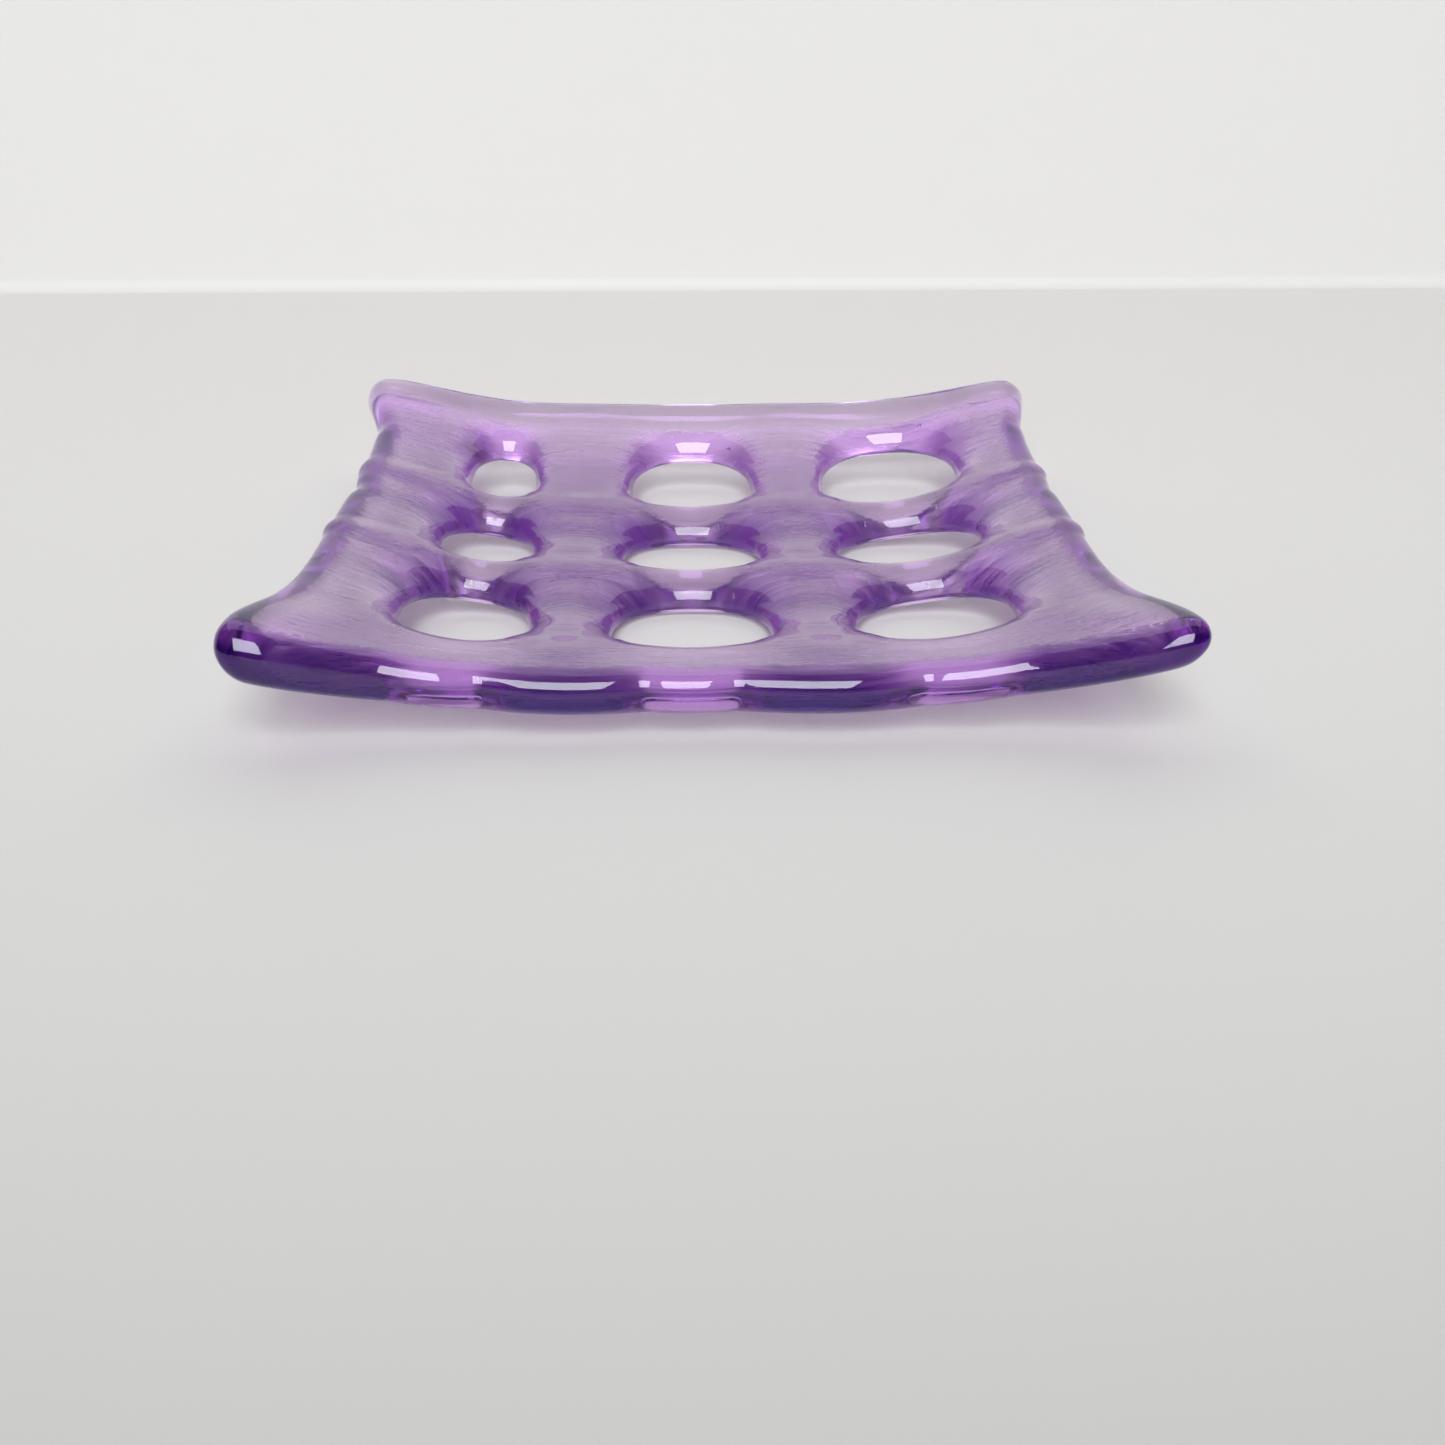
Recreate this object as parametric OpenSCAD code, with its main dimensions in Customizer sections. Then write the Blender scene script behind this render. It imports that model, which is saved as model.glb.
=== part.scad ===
// Flower frog of kiln-fused glass: a square lattice of eight strips, four lengthwise
// lying over four crosswise, fused where they cross and slumped into a shallow dish.
// Flower stems stand in the nine openings between the strips.
//
// Millimetres. X runs across, Y from front to back, Z up. The origin is the middle of
// the lattice, on the surface that the flat of the base rests on.
//
// Where two strips cross, the lengthwise strip has the upper half of the glass and the
// crosswise strip the lower half, and both are full height between the crossings.

/* [Lattice] */
// Width across the lattice, between the outer edges of the two side strips
lattice_w = 95.5; // [84:0.5:130]
// Length of the lattice, from the front edge to the back edge
lattice_l = 100; // [84:0.5:130]
// Height of the glass where it is one strip
strip_t = 5.4; // [4:0.1:7]
// Extra height in the middle of a crossing, where two strips are fused
crossing_rise = 0.5; // [0:0.1:2]
// How far a strip sags between two crossings
stretch_dip = 0.3; // [0:0.1:1.5]
// Extra height where glass has pooled: front left, front right, back left, back right
corner_swell = [1.2, 0, 0.8, 0.8]; // [0:0.1:2]

/* [Widths of the lengthwise strips, at the front and at the back] */
// Left side strip
left_w = [9.8, 14.8]; // [6:0.1:18]
// Inner left strip
inner_left_w = [8, 16]; // [6:0.5:16]
// Inner right strip
inner_right_w = [10.5, 11]; // [6:0.5:16]
// Right side strip
right_w = [11, 10]; // [6:0.5:18]

/* [Widths of the crosswise strips, at the left and at the right] */
// Front strip
front_w = [15, 15]; // [6:0.5:16]
// Inner front strip
inner_front_w = [7.5, 7.5]; // [6:0.5:14]
// Inner back strip
inner_back_w = [9, 7]; // [6:0.5:14]
// Back strip
back_w = [11.5, 8.5]; // [6:0.5:16]

/* [How far the inner strips lie off their even places] */
// Inner left strip, at the front and at the back
inner_left_drift = [-2, -4]; // [-6:0.5:6]
// Inner right strip, at the front and at the back
inner_right_drift = [-0.5, -1.5]; // [-6:0.5:6]
// Inner front strip, at the left and at the right
inner_front_drift = [5.5, 4.5]; // [-6:0.5:6]
// Inner back strip, at the left and at the right
inner_back_drift = [2.5, 0.5]; // [-6:0.5:6]

/* [Slump] */
// Half the width of the flat base that the glass rests on
base_half = 13; // [8:0.5:20]
// How far the front edge is raised in its middle
front_lift = 2.8; // [0:0.1:10]
// How far the back edge is raised in its middle
back_lift = 7; // [0:0.5:10]
// How far the left edge is raised in its middle
left_lift = 7; // [0:0.5:10]
// How far the right edge is raised in its middle
right_lift = 6.5; // [0:0.5:10]
// How far the corners sink back: front left, front right, back left, back right
corner_relief = [2.3, 1, 5.4, 5]; // [0:0.1:8]
// How steeply the glass curves up from the base to its edges
slump_power = 2; // [1.5:0.1:4]

/* [Melted edges] */
// How far the corners are drawn out: front left, front right, back left, back right
corner_flare = [6.1, 7.1, 6.7, 4.8]; // [0:0.1:9]
// Squareness of the lattice's outline
outline_squareness = 10; // [6:0.5:20]
// Squareness of an opening: 2 is an oval
opening_squareness = 2.5; // [2:0.1:5]
// How far the rounding of the upper side reaches in from an opening
opening_round = 5.2; // [2:0.1:7]
// How far the rounding of the underside reaches in from an opening
underside_round = 2.5; // [1:0.1:4]
// How far the rounding reaches in from the outer edge
edge_round = 2.9; // [1.5:0.1:5]
// How far the front and the back bulge out between seams, as shares of the gap
end_bulge = [0.055, 0.012]; // [0:0.001:0.1]
// How far a crosswise strip's fused end bulges out
side_bulge = 0.4; // [0:0.1:1.5]
// Depth of the dips between the crosswise strips' ends, on the left and on the right
side_seam_depth = [0.6, 0.3]; // [0:0.1:1.5]

/* [Hidden] */

// Facets across one strip, and along one crossing or opening
facets = 8;
// Width that the strips were cut to, which sets the even spacing of their middles
cut_w = 12;
// Height of the widest line of a melted edge, at an opening and outside, as a share
opening_brim = 0.3;
outline_brim = 0.5;
// How sharply the drawn-out corners begin
flare_power = 3.5;
// How fast the rounding grows squarer away from an opening
squaring = 1.2;
// Where the seams and dips lie between two strips' ends, as shares, and the dips' half width
end_seam_places = [0.25, 0.75];
side_seam_place = 0.75;
side_seam_reach = 3;
glass_colour = [0.60, 0.42, 0.76, 0.75];

half_w = lattice_w / 2;
half_l = lattice_l / 2;
// Even place of an inner strip's middle
even_x = (half_w - cut_w / 2) / 3;
even_y = (half_l - cut_w / 2) / 3;

function blend(a, b, t) = a + (b - a) * t;
function sum(values) = values * [for (value = values) 1];
function product(values, k = 0) = k == len(values) ? 1 : values[k] * product(values, k + 1);

// The value of the corner that x and y lie towards
function of_corner(values, x, y) = values[(x < 0 ? 0 : 1) + (y < 0 ? 0 : 2)];

// ---------------------------------------------------------------- strip edges
// An edge is [its place at the middle of the lattice, its drift per millimetre].
function edge_line(near, far, reach) = [(near + far) / 2, (far - near) / reach];

function inner_edges(even, drift, w, reach) = [
    for (side = [-1, 1])
        edge_line(
            even + drift[0] + side * w[0] / 2,
            even + drift[1] + side * w[1] / 2,
            reach
        )
];

// Left and right edges of the four lengthwise strips, from left to right
x_edges = concat(
    [[-half_w, 0], edge_line(left_w[0] - half_w, left_w[1] - half_w, lattice_l)],
    inner_edges(-even_x, inner_left_drift, inner_left_w, lattice_l),
    inner_edges(even_x, inner_right_drift, inner_right_w, lattice_l),
    [edge_line(half_w - right_w[0], half_w - right_w[1], lattice_l), [half_w, 0]]
);

// Front and back edges of the four crosswise strips, from front to back
y_edges = concat(
    [[-half_l, 0], edge_line(front_w[0] - half_l, front_w[1] - half_l, lattice_w)],
    inner_edges(-even_y, inner_front_drift, inner_front_w, lattice_w),
    inner_edges(even_y, inner_back_drift, inner_back_w, lattice_w),
    [edge_line(half_l - back_w[0], half_l - back_w[1], lattice_w), [half_l, 0]]
);

// Where a lengthwise edge meets a crosswise edge
function meet(x_edge, y_edge) =
    let (x = (x_edge[0] + x_edge[1] * y_edge[0]) / (1 - x_edge[1] * y_edge[1]))
    [x, y_edge[0] + y_edge[1] * x];

// ---------------------------------------------------------------- openings
// An opening is [middle, half its width as a vector, half its length as a vector].
function opening(i, j) =
    let (
        a = meet(x_edges[2 * i + 1], y_edges[2 * j + 1]),
        b = meet(x_edges[2 * i + 2], y_edges[2 * j + 1]),
        c = meet(x_edges[2 * i + 2], y_edges[2 * j + 2]),
        d = meet(x_edges[2 * i + 1], y_edges[2 * j + 2])
    )
    [(a + b + c + d) / 4, (b + c - a - d) / 4, (c + d - a - b) / 4];

openings = [for (i = [0:2]) [for (j = [0:2]) opening(i, j)]];

// Pulls a point of the square with sides at -1 and 1 onto a rounded square
function round_off(s, t, squareness) =
    pow(pow(abs(s), squareness) + pow(abs(t), squareness), -1 / squareness);

function opening_rim(i, j, s, t) =
    let (o = openings[i][j], k = round_off(s, t, opening_squareness))
    o[0] + o[1] * s * k + o[2] * t * k;

// Distance from a point to the rim of an opening, along the line from its middle
function inset_from_opening(point, o) =
    let (
        area = o[1][0] * o[2][1] - o[1][1] * o[2][0],
        r = point - o[0],
        s = (r[0] * o[2][1] - r[1] * o[2][0]) / area,
        t = (r[1] * o[1][0] - r[0] * o[1][1]) / area,
        away = max(abs(s), abs(t), 1)
    )
    norm(r) * (1 - round_off(s, t, opening_squareness * pow(away, squaring)));

// ---------------------------------------------------------------- outline
// A point of the outline: s and t run from -1 to 1, and one of them is at its limit
function outline_rim(s, t) =
    let (
        k = round_off(s, t, outline_squareness),
        near_corner = pow(min(abs(s), abs(t)), flare_power),
        flare = of_corner(corner_flare, s, t) * pow(sin(90 * near_corner), 2)
    )
    [half_w * s * k + sign(s) * flare, half_l * t * k + sign(t) * flare];

// Where edge line number n leaves the front or left side (-1), or the back or right (1)
function x_station(n, side) =
    n == 0 || n == 7 ? (n == 0 ? -1 : 1)
    : (x_edges[n][0] + x_edges[n][1] * side * half_l) / half_w;
function y_station(n, side) =
    n == 0 || n == 7 ? (n == 0 ? -1 : 1)
    : (y_edges[n][0] + y_edges[n][1] * side * half_w) / half_l;

// How far the front or back edge bulges out between the seams beside the strips' ends
function end_out(side, station) =
    let (
        seams = [
            for (n = [1, 3, 5]) for (share = end_seam_places)
                blend(x_station(n, side), x_station(n + 1, side), share)
        ],
        bulges = [
            for (k = [1:len(seams) - 1])
                if (station > seams[k - 1] && station < seams[k])
                    let (gap = seams[k] - seams[k - 1])
                    gap * half_w * sin(180 * (station - seams[k - 1]) / gap)
        ]
    )
    len(bulges) > 0 ? end_bulge[side < 0 ? 0 : 1] * bulges[0] : 0;

// How far the left or right edge bulges out at a fused end, and dips in between ends
function side_out(q, v, side, station) =
    let (
        dips = [
            for (n = [3, 5])
                let (place = blend(y_station(n, side), y_station(n + 1, side), side_seam_place))
                half_l * (station - place)
        ]
    )
    (q % 2 == 0 ? side_bulge * pow(sin(180 * v), 2) : 0)
    - side_seam_depth[side < 0 ? 0 : 1] * sum([for (d = dips) exp(-pow(d / side_seam_reach, 2))]);

// ---------------------------------------------------------------- cells of the plan
// The strips' edges part the plan into 7 by 7 cells: crossings have even numbers both
// ways, openings have odd numbers both ways, and the rest are single strips. A cell's
// corner lies where the rims of the openings turn from one strip to the next.
function cell_corner(p, q) =
    p == 0 || p == 7 ? let (side = p == 0 ? -1 : 1) outline_rim(side, y_station(q, side))
    : q == 0 || q == 7 ? let (side = q == 0 ? -1 : 1) outline_rim(x_station(p, side), side)
    : opening_rim(
        floor((p - 1) / 2), floor((q - 1) / 2),
        p % 2 == 1 ? -1 : 1, q % 2 == 1 ? -1 : 1
    );

// Edge of a cell from corner (p, q) to corner (p + 1, q)
function edge_across(p, q, u) =
    q == 0 || q == 7
    ? let (
            side = q == 0 ? -1 : 1,
            station = blend(x_station(p, side), x_station(p + 1, side), u)
        )
        outline_rim(station, side) + [0, side * end_out(side, station)]
    : p % 2 == 1
    ? opening_rim((p - 1) / 2, floor((q - 1) / 2), tan(90 * u - 45), q % 2 == 1 ? -1 : 1)
    : blend(cell_corner(p, q), cell_corner(p + 1, q), u);

// Edge of a cell from corner (p, q) to corner (p, q + 1)
function edge_along(p, q, v) =
    p == 0 || p == 7
    ? let (
            side = p == 0 ? -1 : 1,
            station = blend(y_station(q, side), y_station(q + 1, side), v)
        )
        outline_rim(side, station) + [side * side_out(q, v, side, station), 0]
    : q % 2 == 1
    ? opening_rim(floor((p - 1) / 2), (q - 1) / 2, p % 2 == 1 ? -1 : 1, tan(90 * v - 45))
    : blend(cell_corner(p, q), cell_corner(p, q + 1), v);

// Point of cell (p, q) between its four edges
function plan_point(p, q, u, v) =
    blend(edge_across(p, q, u), edge_across(p, q + 1, u), v)
    + blend(edge_along(p, q, v), edge_along(p + 1, q, v), u)
    - blend(
        blend(cell_corner(p, q), cell_corner(p + 1, q), u),
        blend(cell_corner(p, q + 1), cell_corner(p + 1, q + 1), u),
        v
    );

// ---------------------------------------------------------------- heights
// Rise of the slumped underside, from 0 at the flat base to 1 at the straight edges
function slump(place, half) =
    pow(max(abs(place) - base_half, 0) / (half - base_half), slump_power);

// Height of the underside, and how far into a corner the point lies
function underside(point) =
    let (sx = slump(point[0], half_w), sy = slump(point[1], half_l))
    [
        (point[0] < 0 ? left_lift : right_lift) * sx
        + (point[1] < 0 ? front_lift : back_lift) * sy
        - of_corner(corner_relief, point[0], point[1]) * sx * sy,
        sx * sy
    ];

// Square of a quarter-round profile, from 0 at an edge to 1 where the rounding ends. Where
// the roundings of several edges meet, they flow into each other.
function rounded(insets, reach) =
    product([for (inset = insets) 1 - pow(max(0, min(1 - inset / reach, 1)), 2)]);

// Distances from a point of a cell to its outer edges
function insets_from_outline(p, q, u, v, point) = [
    if (p == 0) norm(point - edge_along(0, q, v)),
    if (p == 6) norm(point - edge_along(7, q, v)),
    if (q == 0) norm(point - edge_across(p, 0, u)),
    if (q == 6) norm(point - edge_across(p, 7, u)),
    lattice_w
];

// Upper, middle and lower points of the glass over one point of the plan
function column(p, q, u, v) =
    let (
        point = plan_point(p, q, u, v),
        to_outline = insets_from_outline(p, q, u, v, point),
        to_openings = [for (row = openings) for (o = row) inset_from_opening(point, o)],
        inward = min(min(to_outline) / cut_w, 1),
        outer = rounded(to_outline, edge_round),
        over = sqrt(outer * rounded(to_openings, opening_round)),
        under = sqrt(outer * rounded(to_openings, underside_round)),
        bed = underside(point),
        swell = of_corner(corner_swell, point[0], point[1]) * min(bed[1], 1),
        single = (p % 2) * pow(sin(180 * u), 2) + (q % 2) * pow(sin(180 * v), 2),
        thickness = strip_t + swell - stretch_dip * single * inward,
        brim = thickness * blend(outline_brim, opening_brim, inward),
        fused = p % 2 == 0 && q % 2 == 0,
        mound = fused ? crossing_rise * pow(sin(180 * u) * sin(180 * v), 2) : 0,
        upper = bed[0] + brim + (thickness - brim) * over + mound,
        lower = bed[0] + brim * (1 - under)
    )
    [for (z = [upper, (upper + lower) / 2, lower]) [point[0], point[1], z]];

// ---------------------------------------------------------------- one strip
// Places of the facets in a cell: closer at the edges of a strip, even along an opening
function facet_place(cell, k) = cell % 2 == 0 ? (1 - cos(180 * k / facets)) / 2 : k / facets;

last = 7 * facets;

// Columns that lie on a melted edge, where the upper and lower sides meet
function beside_opening(m) = floor(m / facets) % 2 == 1 || m % facets == 0;
function on_edge(number, m, a) =
    m == 0 || m == last
    || (a == 0 && (number == 0 || beside_opening(m)))
    || (a == facets && (number == 3 || beside_opening(m)));

// Index of a strip's point: m counts columns along it, a across it, layer 0 is the top
function at(number, m, a, layer) =
    3 * (m * (facets + 1) + a) + (on_edge(number, m, a) ? 0 : layer);

// Two triangles of a quad, without those that have no area, turned over if asked
function quad(a, b, c, d, turned) = [
    for (f = [[a, b, c], [a, c, d]])
        if (f[0] != f[1] && f[1] != f[2] && f[2] != f[0])
            turned ? f : [f[2], f[1], f[0]]
];

// Strip number 0 to 3: lengthwise strips have the upper half of each crossing
module strip(number, lengthwise) {
    points = [
        for (m = [0:last]) for (a = [0:facets])
            let (
                cell = min(floor(m / facets), 6),
                v = facet_place(cell, m - cell * facets),
                u = facet_place(0, a)
            )
            each lengthwise ? column(2 * number, cell, u, v) : column(cell, 2 * number, v, u)
    ];
    // Upper and lower layer of a crossing, and of what the other strip has there
    own = lengthwise ? [0, 1] : [1, 2];
    other = lengthwise ? [1, 2] : [0, 1];
    function index(m, a, layer) = at(number, m, a, layer);
    turned = !lengthwise;
    faces = [
        // Upper and lower sides. A diagonal never joins two melted edges, so that at an
        // outer corner it starts from the corner itself.
        for (m = [0:last - 1]) for (a = [0:facets - 1]) for (side = [0, 1])
            let (
                layer = (floor(m / facets) % 2 == 0 ? own : [0, 2])[side],
                first = on_edge(number, m, a) && on_edge(number, m + 1, a + 1) ? 1 : 0,
                around = [[m, a], [m, a + 1], [m + 1, a + 1], [m + 1, a]],
                c = [for (k = [0:3]) let (mk = around[(first + k) % 4]) index(mk[0], mk[1], layer)]
            )
            each quad(c[0], c[1], c[2], c[3], side == 0 ? turned : !turned),
        // Steps at both ends of each single stretch, against the strip that it meets
        for (n = [1:6]) for (a = [0:facets - 1])
            each quad(
                index(n * facets, a, other[0]), index(n * facets, a, other[1]),
                index(n * facets, a + 1, other[1]), index(n * facets, a + 1, other[0]),
                n % 2 == 1 ? turned : !turned
            ),
        // Sides of a crossing that lie against the other strip's single stretches
        for (cell = [0:2:6]) for (k = [0:facets - 1]) for (a = [0, facets])
            let (m = cell * facets + k)
            if (a == 0 ? number > 0 : number < 3)
                each quad(
                    index(m, a, own[0]), index(m, a, own[1]),
                    index(m + 1, a, own[1]), index(m + 1, a, own[0]),
                    a == 0 ? !turned : turned
                )
    ];
    polyhedron(points = points, faces = faces, convexity = 10);
}

module left_strip() { color(glass_colour) strip(0, true); }
module inner_left_strip() { color(glass_colour) strip(1, true); }
module inner_right_strip() { color(glass_colour) strip(2, true); }
module right_strip() { color(glass_colour) strip(3, true); }
module front_strip() { color(glass_colour) strip(0, false); }
module inner_front_strip() { color(glass_colour) strip(1, false); }
module inner_back_strip() { color(glass_colour) strip(2, false); }
module back_strip() { color(glass_colour) strip(3, false); }

left_strip();
inner_left_strip();
inner_right_strip();
right_strip();
front_strip();
inner_front_strip();
inner_back_strip();
back_strip();
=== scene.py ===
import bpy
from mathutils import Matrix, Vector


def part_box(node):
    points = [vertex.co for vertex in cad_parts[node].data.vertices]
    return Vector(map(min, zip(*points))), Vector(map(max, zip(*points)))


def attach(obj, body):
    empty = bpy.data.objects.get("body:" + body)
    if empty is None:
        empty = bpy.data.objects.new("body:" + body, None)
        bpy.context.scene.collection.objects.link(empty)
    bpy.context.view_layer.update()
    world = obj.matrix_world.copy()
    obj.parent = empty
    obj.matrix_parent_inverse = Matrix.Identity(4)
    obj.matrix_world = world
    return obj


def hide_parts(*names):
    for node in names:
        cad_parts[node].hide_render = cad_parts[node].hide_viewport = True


bl_info = {
    "name": "Fused Glass Flower Frog",
    "version": (1, 0, 0),
    "blender": (4, 5, 0),
    "location": "3D View > Sidebar > Flower Frog",
    "description": "Builds a kiln-fused glass lattice that holds flower stems, with its studio",
    "category": "Add Mesh",
}

import math

import bmesh
import bpy
import numpy as np
from bpy.props import FloatProperty, FloatVectorProperty, IntProperty, PointerProperty
from bpy.types import Operator, Panel, PropertyGroup
from mathutils import Vector

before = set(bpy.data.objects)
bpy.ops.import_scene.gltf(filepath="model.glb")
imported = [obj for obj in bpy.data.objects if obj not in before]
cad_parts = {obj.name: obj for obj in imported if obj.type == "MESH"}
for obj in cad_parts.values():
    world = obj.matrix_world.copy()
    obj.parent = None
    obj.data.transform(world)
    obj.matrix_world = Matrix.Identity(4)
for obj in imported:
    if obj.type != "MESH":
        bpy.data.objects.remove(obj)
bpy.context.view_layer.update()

MM = 0.001
GLASS_NAME = "fused_purple_glass"
# How far a strip may stray from its place in the frame, because its facets are finer
STRAY = 0.3 * MM

# Strips from left to right, over the strips from front to back
LENGTHWISE = ("left_strip", "inner_left_strip", "inner_right_strip", "right_strip")
CROSSWISE = ("front_strip", "inner_front_strip", "inner_back_strip", "back_strip")

# Places of the seams across a strip's fused end, as shares of its width
END_SEAMS = (0.25, 0.75)
SIDE_SEAM = 0.75
# The underside is matt where it faces down by more than this, as the sine of its slope
MATT_FROM = 0.5
# Smallest numbers that are divided by, for a point's place and for a facet's area
TINY = 1e-30
LEAST_AREA = 1e-18

# Air bubbles in the crosswise strips between two crossings: the strip from front to back, the
# gap from left to right, and the place along the gap, across the strip and up, as shares
BUBBLES = (
    (0, 0, 0.08, 0.75, 0.55), (0, 2, 0.90, 0.85, 0.5), (0, 2, 0.93, 0.3, 0.6), (1, 0, 0.45, 0.3, 0.5),
    (1, 1, 0.88, 0.25, 0.5), (1, 2, 0.55, 0.3, 0.45), (2, 0, 0.5, 0.25, 0.5), (2, 1, 0.78, 0.3, 0.5),
    (2, 2, 0.15, 0.3, 0.5), (2, 2, 0.85, 0.35, 0.6), (3, 1, 0.92, 0.2, 0.5), (3, 2, 0.85, 0.35, 0.5),
)


# ------------------------------------------------------------------ sizes and colours
def length(name, description, millimetres):
    return FloatProperty(
        name=name, description=description, default=millimetres * MM, unit="LENGTH", precision=5
    )


def lengths(name, description, millimetres):
    return FloatVectorProperty(
        name=name,
        description=description,
        default=[value * MM for value in millimetres],
        size=len(millimetres),
        unit="LENGTH",
        precision=5,
    )


def angle(name, description, degrees):
    return FloatProperty(
        name=name, description=description, default=math.radians(degrees), subtype="ANGLE"
    )


def number(name, description, default):
    return FloatProperty(name=name, description=description, default=default)


def colour(name, description, default):
    return FloatVectorProperty(
        name=name, description=description, default=default, size=3, min=0, max=1, subtype="COLOR"
    )


class FrogLatticeSizes(PropertyGroup):
    """Sizes of the glass, the same as those of the frame"""

    lattice_w: length("Width", "Between the outer edges of the two side strips", 95.5)
    lattice_l: length("Length", "From the front edge to the back edge", 100)
    strip_t: length("Strip thickness", "Height of the glass where it is one strip", 5.4)
    corner_swell: lengths(
        "Corner swell", "Extra thickness of front left, front right and both back corners",
        (1.2, 0, 0.8, 0.8),
    )
    stretch_dip: length("Stretch dip", "How far a strip sags between two crossings", 0.3)
    crossing_rise: length("Crossing rise", "Extra height in the middle of a crossing", 0.5)

    left_w: lengths("Left strip", "Width at the front and at the back", (9.8, 14.8))
    inner_left_w: lengths("Inner left strip", "Width at the front and at the back", (8, 16))
    inner_right_w: lengths("Inner right strip", "Width at the front and at the back", (10.5, 11))
    right_w: lengths("Right strip", "Width at the front and at the back", (11, 10))
    front_w: lengths("Front strip", "Width at the left and at the right", (15, 15))
    inner_front_w: lengths("Inner front strip", "Width at the left and at the right", (7.5, 7.5))
    inner_back_w: lengths("Inner back strip", "Width at the left and at the right", (9, 7))
    back_w: lengths("Back strip", "Width at the left and at the right", (11.5, 8.5))

    cut_w: length("Cut width", "Width that the strips were cut to", 12)
    inner_left_drift: lengths("Inner left drift", "Off its even place, front and back", (-2, -4))
    inner_right_drift: lengths("Inner right drift", "Off its even place, front and back", (-0.5, -1.5))
    inner_front_drift: lengths("Inner front drift", "Off its even place, left and right", (5.5, 4.5))
    inner_back_drift: lengths("Inner back drift", "Off its even place, left and right", (2.5, 0.5))

    base_half: length("Half base", "Half the width of the flat base", 13)
    front_lift: length("Front lift", "How far the front edge is raised", 2.8)
    back_lift: length("Back lift", "How far the back edge is raised", 7)
    left_lift: length("Left lift", "How far the left edge is raised", 7)
    right_lift: length("Right lift", "How far the right edge is raised", 6.5)
    corner_relief: lengths(
        "Corner relief", "How far front left, front right and both back corners sink back",
        (2.3, 1.0, 5.4, 5),
    )
    slump_power: number("Slump power", "How steeply the glass curves up to its edges", 2)

    corner_flare: lengths(
        "Corner flare", "How far front left, front right and both back corners are drawn out",
        (6.1, 7.1, 6.7, 4.8),
    )
    flare_power: number("Flare power", "How sharply the drawn-out corners begin", 3.5)
    outline_squareness: number("Outline squareness", "Squareness of the outline", 10)
    opening_squareness: number("Opening squareness", "Squareness of an opening", 2.5)
    squaring: number("Squaring", "How fast the rounding grows squarer away from an opening", 1.2)
    opening_round: length("Opening rounding", "Reach of the upper rounding at an opening", 5.2)
    underside_round: length("Underside rounding", "Reach of the rounding under an opening", 2.5)
    edge_round: length("Edge rounding", "Reach of the rounding at the outer edge", 2.9)
    end_bulge: FloatVectorProperty(
        name="End bulge", size=2, default=(0.055, 0.012),
        description="How far the front and the back bulge out between seams, as a share of the gap",
    )
    side_bulge: length("Side bulge", "How far a crosswise strip's fused end bulges out", 0.4)
    side_seam_depth: lengths("Side seam depth", "Depth of the dips on the left and right", (0.6, 0.3))
    side_seam_reach: length("Side seam reach", "Half the width of those dips", 3)
    opening_brim: number("Opening brim", "Height of a rim's widest line, as a share of the strip", 0.3)
    outline_brim: number("Outline brim", "Height of the edge's widest line, as a share", 0.5)

    facets: IntProperty(
        name="Facets", description="Facets across a strip and along an opening", default=28, min=6
    )
    bubble: length("Bubble", "Radius of the air bubbles caught beside the joints", 0.34)
    joint_gap: length("Joint gap", "Space left between two fused faces, which keeps them apart", 0.006)


class FrogGlassLook(PropertyGroup):
    """Finish of the glass"""

    clear: colour("Clear glass", "Colour of the glass at its surface", (1.0, 1.0, 1.0))
    tint: colour("Depth tint", "Colour that the glass lets through its depth", (0.54, 0.0, 0.76))
    tint_density: number("Tint density", "How soon the depth tint takes over, per metre", 80)
    ior: number("Refraction", "Refractive index of soda-lime glass", 1.52)
    polish: number("Polish", "Roughness of the fire-polished glass", 0.01)
    matt: number("Matt underside", "Least roughness where the glass lay on the kiln shelf", 0.12)
    streak: number("Streaks", "Extra roughness in the streaks of the underside", 0.4)
    streak_across: number("Streaks across", "Streaks per metre, from front to back", 900)
    streak_along: number("Streaks along", "Streaks per metre, from left to right", 110)
    streak_depth: length("Streak depth", "Depth of the streaks", 0.09)


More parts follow.
